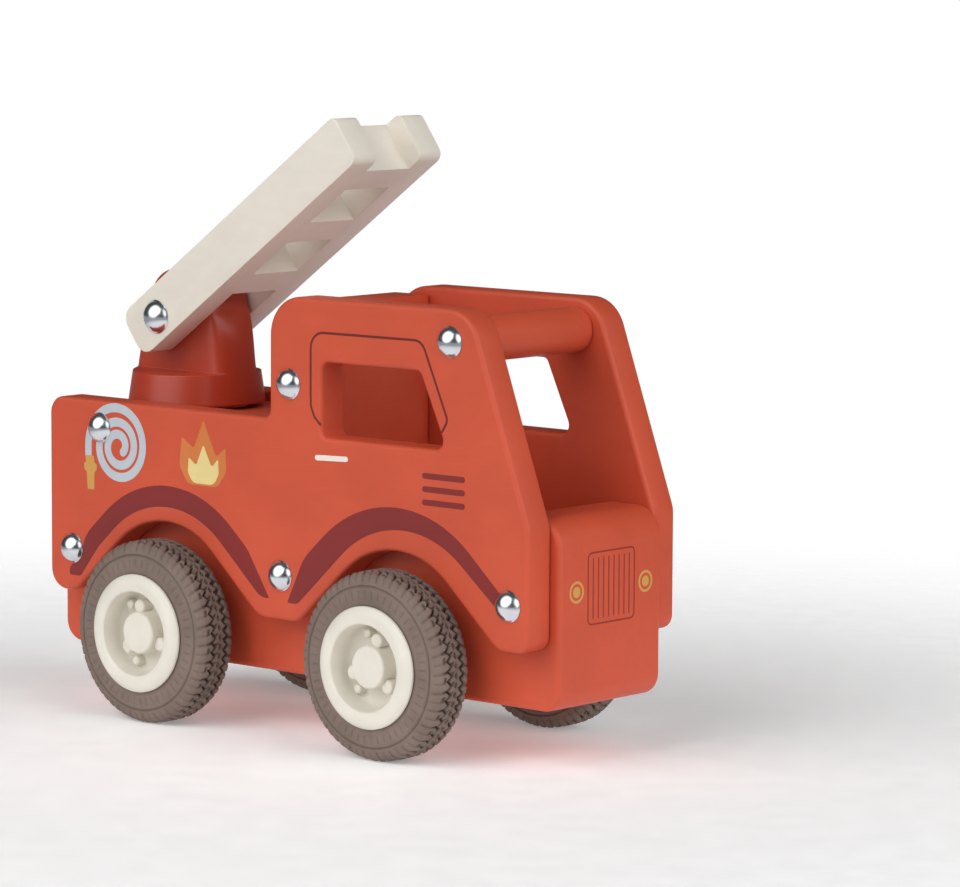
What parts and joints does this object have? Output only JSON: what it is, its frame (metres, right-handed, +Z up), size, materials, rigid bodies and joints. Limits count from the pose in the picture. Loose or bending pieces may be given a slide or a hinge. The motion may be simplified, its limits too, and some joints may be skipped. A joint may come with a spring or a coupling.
{
  "type": "toy fire engine",
  "caption": "Wooden toy fire engine with an open-topped cab, rubber-tyred wheels on turning axles, and a raising ladder on a turning turret.",
  "frame": {"origin": "on the ground under the middle of the truck's length and width", "axes": "+X to the front of the truck, +Y to its left side, +Z up"},
  "size_m": [0.189, 0.0878, 0.1723],
  "materials": {
    "red_paint": "satin paint",
    "gloss_red": "semi-gloss paint",
    "cream_paint": "satin paint",
    "cream_plastic": "satin",
    "tyre_rubber": "matte",
    "nylon": "matte",
    "chrome": "polished",
    "steel": "turned"
  },
  "bodies": {
    "truck": {"chassis": "red_paint", "side_plate_right": "red_paint", "side_plate_left": "red_paint", "deck_board": "red_paint", "cab_rear_wall": "red_paint", "cab_crossbar": "red_paint", "body_screws_right": "chrome", "body_screws_left": "chrome"},
    "front_wheels": {"front_axle": "steel", "rim_front_right": "cream_plastic", "rim_front_left": "cream_plastic", "tyre_front_right": "tyre_rubber", "tyre_front_left": "tyre_rubber", "axle_washers_front": "nylon"},
    "rear_wheels": {"rear_axle": "steel", "rim_rear_right": "cream_plastic", "rim_rear_left": "cream_plastic", "tyre_rear_right": "tyre_rubber", "tyre_rear_left": "tyre_rubber", "axle_washers_rear": "nylon"},
    "turret": {"turret": "gloss_red", "turret_washer": "nylon", "turret_pin": "steel", "turret_lower_washer": "nylon"},
    "ladder": {"ladder": "cream_paint", "ladder_pin": "chrome"}
  },
  "joints": [
    {"name": "front_axle_roll", "type": "hinge", "parent": "truck", "child": "front_wheels", "pos_m": [0.044, 0, 0.026], "axis": [0, 1, 0], "continuous": true},
    {"name": "rear_axle_roll", "type": "hinge", "parent": "truck", "child": "rear_wheels", "pos_m": [-0.044, 0, 0.026], "axis": [0, 1, 0], "continuous": true},
    {"name": "turret_turn", "type": "hinge", "parent": "truck", "child": "turret", "pos_m": [-0.0614, 0, 0.0875], "axis": [0, 0, 1], "continuous": true},
    {"name": "ladder_raise", "type": "hinge", "parent": "turret", "child": "ladder", "pos_m": [-0.06, 0, 0.1133], "axis": [0, -1, 0], "range_deg": [-17, 50]}
  ]
}
